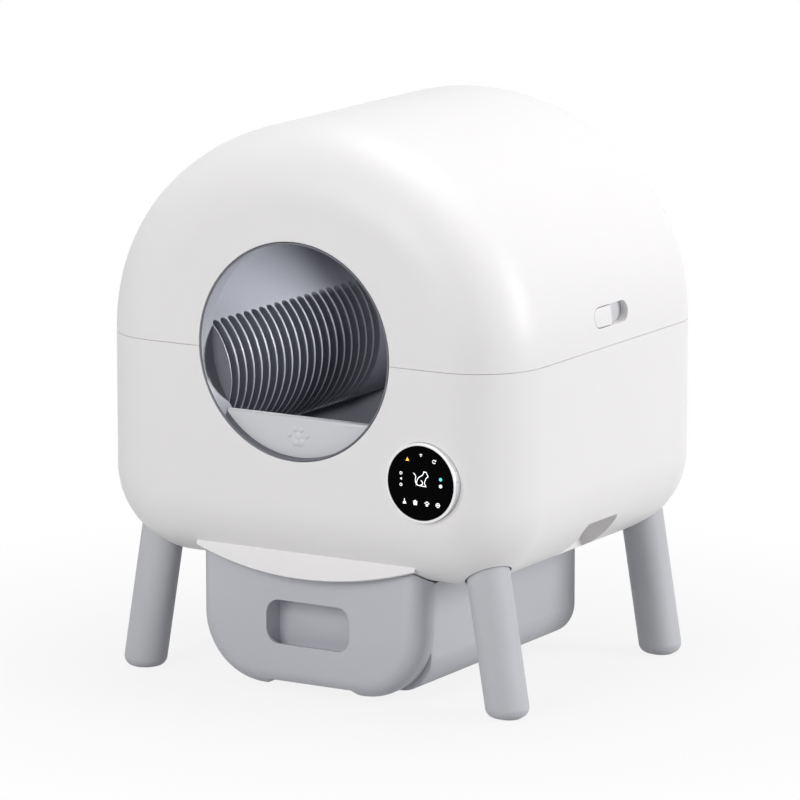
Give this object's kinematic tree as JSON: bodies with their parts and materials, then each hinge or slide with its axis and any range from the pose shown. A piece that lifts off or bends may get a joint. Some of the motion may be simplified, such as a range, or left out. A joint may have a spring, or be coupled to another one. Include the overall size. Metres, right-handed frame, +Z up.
{
  "type": "self-cleaning litter box",
  "caption": "Arched litter box on splayed legs with a round entry, a turning drum with a sieve, a lift-off cover, a round display and a waste drawer underneath.",
  "frame": {"origin": "on the floor under the middle of the box", "axes": "+X right seen from the front, front faces -Y, +Z up"},
  "size_m": [0.52, 0.468, 0.6199],
  "materials": {
    "shell_white": "fine moulded satin",
    "leg_grey": "fine moulded matt",
    "drawer_grey": "fine moulded matt",
    "drum_grey": "satin moulded",
    "threshold_grey": "satin moulded",
    "dark_plastic": "matt",
    "gear_white": "moulded acetal",
    "pad_grey": "matt",
    "rubber": "matt",
    "steel": "plain zinc",
    "motor_metal": "satin",
    "bezel_silver": "satin anodised",
    "display_black": "high gloss",
    "board_green": "solder mask"
  },
  "bodies": {
    "housing": {"lower_housing": "shell_white", "chassis": "dark_plastic", "chassis_screws": "steel", "waste_chute": "dark_plastic", "leg_front_left": "leg_grey", "leg_front_right": "leg_grey", "leg_rear_left": "leg_grey", "leg_rear_right": "leg_grey", "leg_seals": "rubber", "foot_pads": "pad_grey", "load_cells": "steel", "drawer_rail_left": "drawer_grey", "drawer_rail_right": "drawer_grey", "drive_motor": "motor_metal", "motor_bracket": "steel", "bracket_screws": "steel", "control_board": "board_green", "power_inlet": "dark_plastic", "display_bezel": "bezel_silver", "display_glass": "display_black", "display_board": "board_green", "display_cap": "dark_plastic", "hall_sensor": "dark_plastic"},
    "cover": {"top_cover": "shell_white", "entry_sensor": "dark_plastic"},
    "latch_left": {"latch_button_left": "shell_white", "latch_slide_left": "drum_grey"},
    "latch_right": {"latch_button_right": "shell_white", "latch_slide_right": "drum_grey"},
    "drum": {"drum_front_shell": "drum_grey", "drum_rear_shell": "drum_grey", "entry_collar": "drum_grey", "drum_screws": "steel", "ring_gear": "gear_white", "sieve": "drum_grey", "entry_threshold": "threshold_grey", "litter_mat": "drum_grey", "home_magnet": "steel"},
    "pinion": {"drive_pinion": "gear_white", "motor_shaft": "steel"},
    "roller_left": {"roller_axle_left": "steel", "roller_tyres_left": "rubber"},
    "roller_right": {"roller_axle_right": "steel", "roller_tyres_right": "rubber"},
    "drawer": {"drawer_front": "drawer_grey", "drawer_bin": "drawer_grey", "drawer_screws": "steel", "bag_frame": "dark_plastic"}
  },
  "joints": [
    {"name": "cover_lift", "type": "slide", "parent": "housing", "child": "cover", "axis": [0, 0, 1], "range_m": [0, 0.27]},
    {"name": "latch_left_slide", "type": "slide", "parent": "cover", "child": "latch_left", "axis": [0, 1, 0], "range_m": [0, 0.024]},
    {"name": "latch_right_slide", "type": "slide", "parent": "cover", "child": "latch_right", "axis": [0, 1, 0], "range_m": [0, 0.024]},
    {"name": "drum_spin", "type": "hinge", "parent": "housing", "child": "drum", "pos_m": [0, 0.003, 0.382], "axis": [0, 1, 0], "continuous": true},
    {"name": "pinion_spin", "type": "hinge", "parent": "housing", "child": "pinion", "pos_m": [0.18863, 0.129, 0.214], "axis": [0, 1, 0], "continuous": true},
    {"name": "roller_left_spin", "type": "hinge", "parent": "housing", "child": "roller_left", "pos_m": [-0.11663, 0.003, 0.18], "axis": [0, 1, 0], "continuous": true},
    {"name": "roller_right_spin", "type": "hinge", "parent": "housing", "child": "roller_right", "pos_m": [0.11663, 0.003, 0.18], "axis": [0, 1, 0], "continuous": true},
    {"name": "drawer_slide", "type": "slide", "parent": "housing", "child": "drawer", "axis": [0, -1, 0], "range_m": [0, 0.25]}
  ],
  "couplings": [
    {"joint": "pinion_spin", "follows": "drum_spin", "ratio": -8.3333},
    {"joint": "roller_left_spin", "follows": "drum_spin", "ratio": -14.53},
    {"joint": "roller_right_spin", "follows": "drum_spin", "ratio": -14.53}
  ]
}
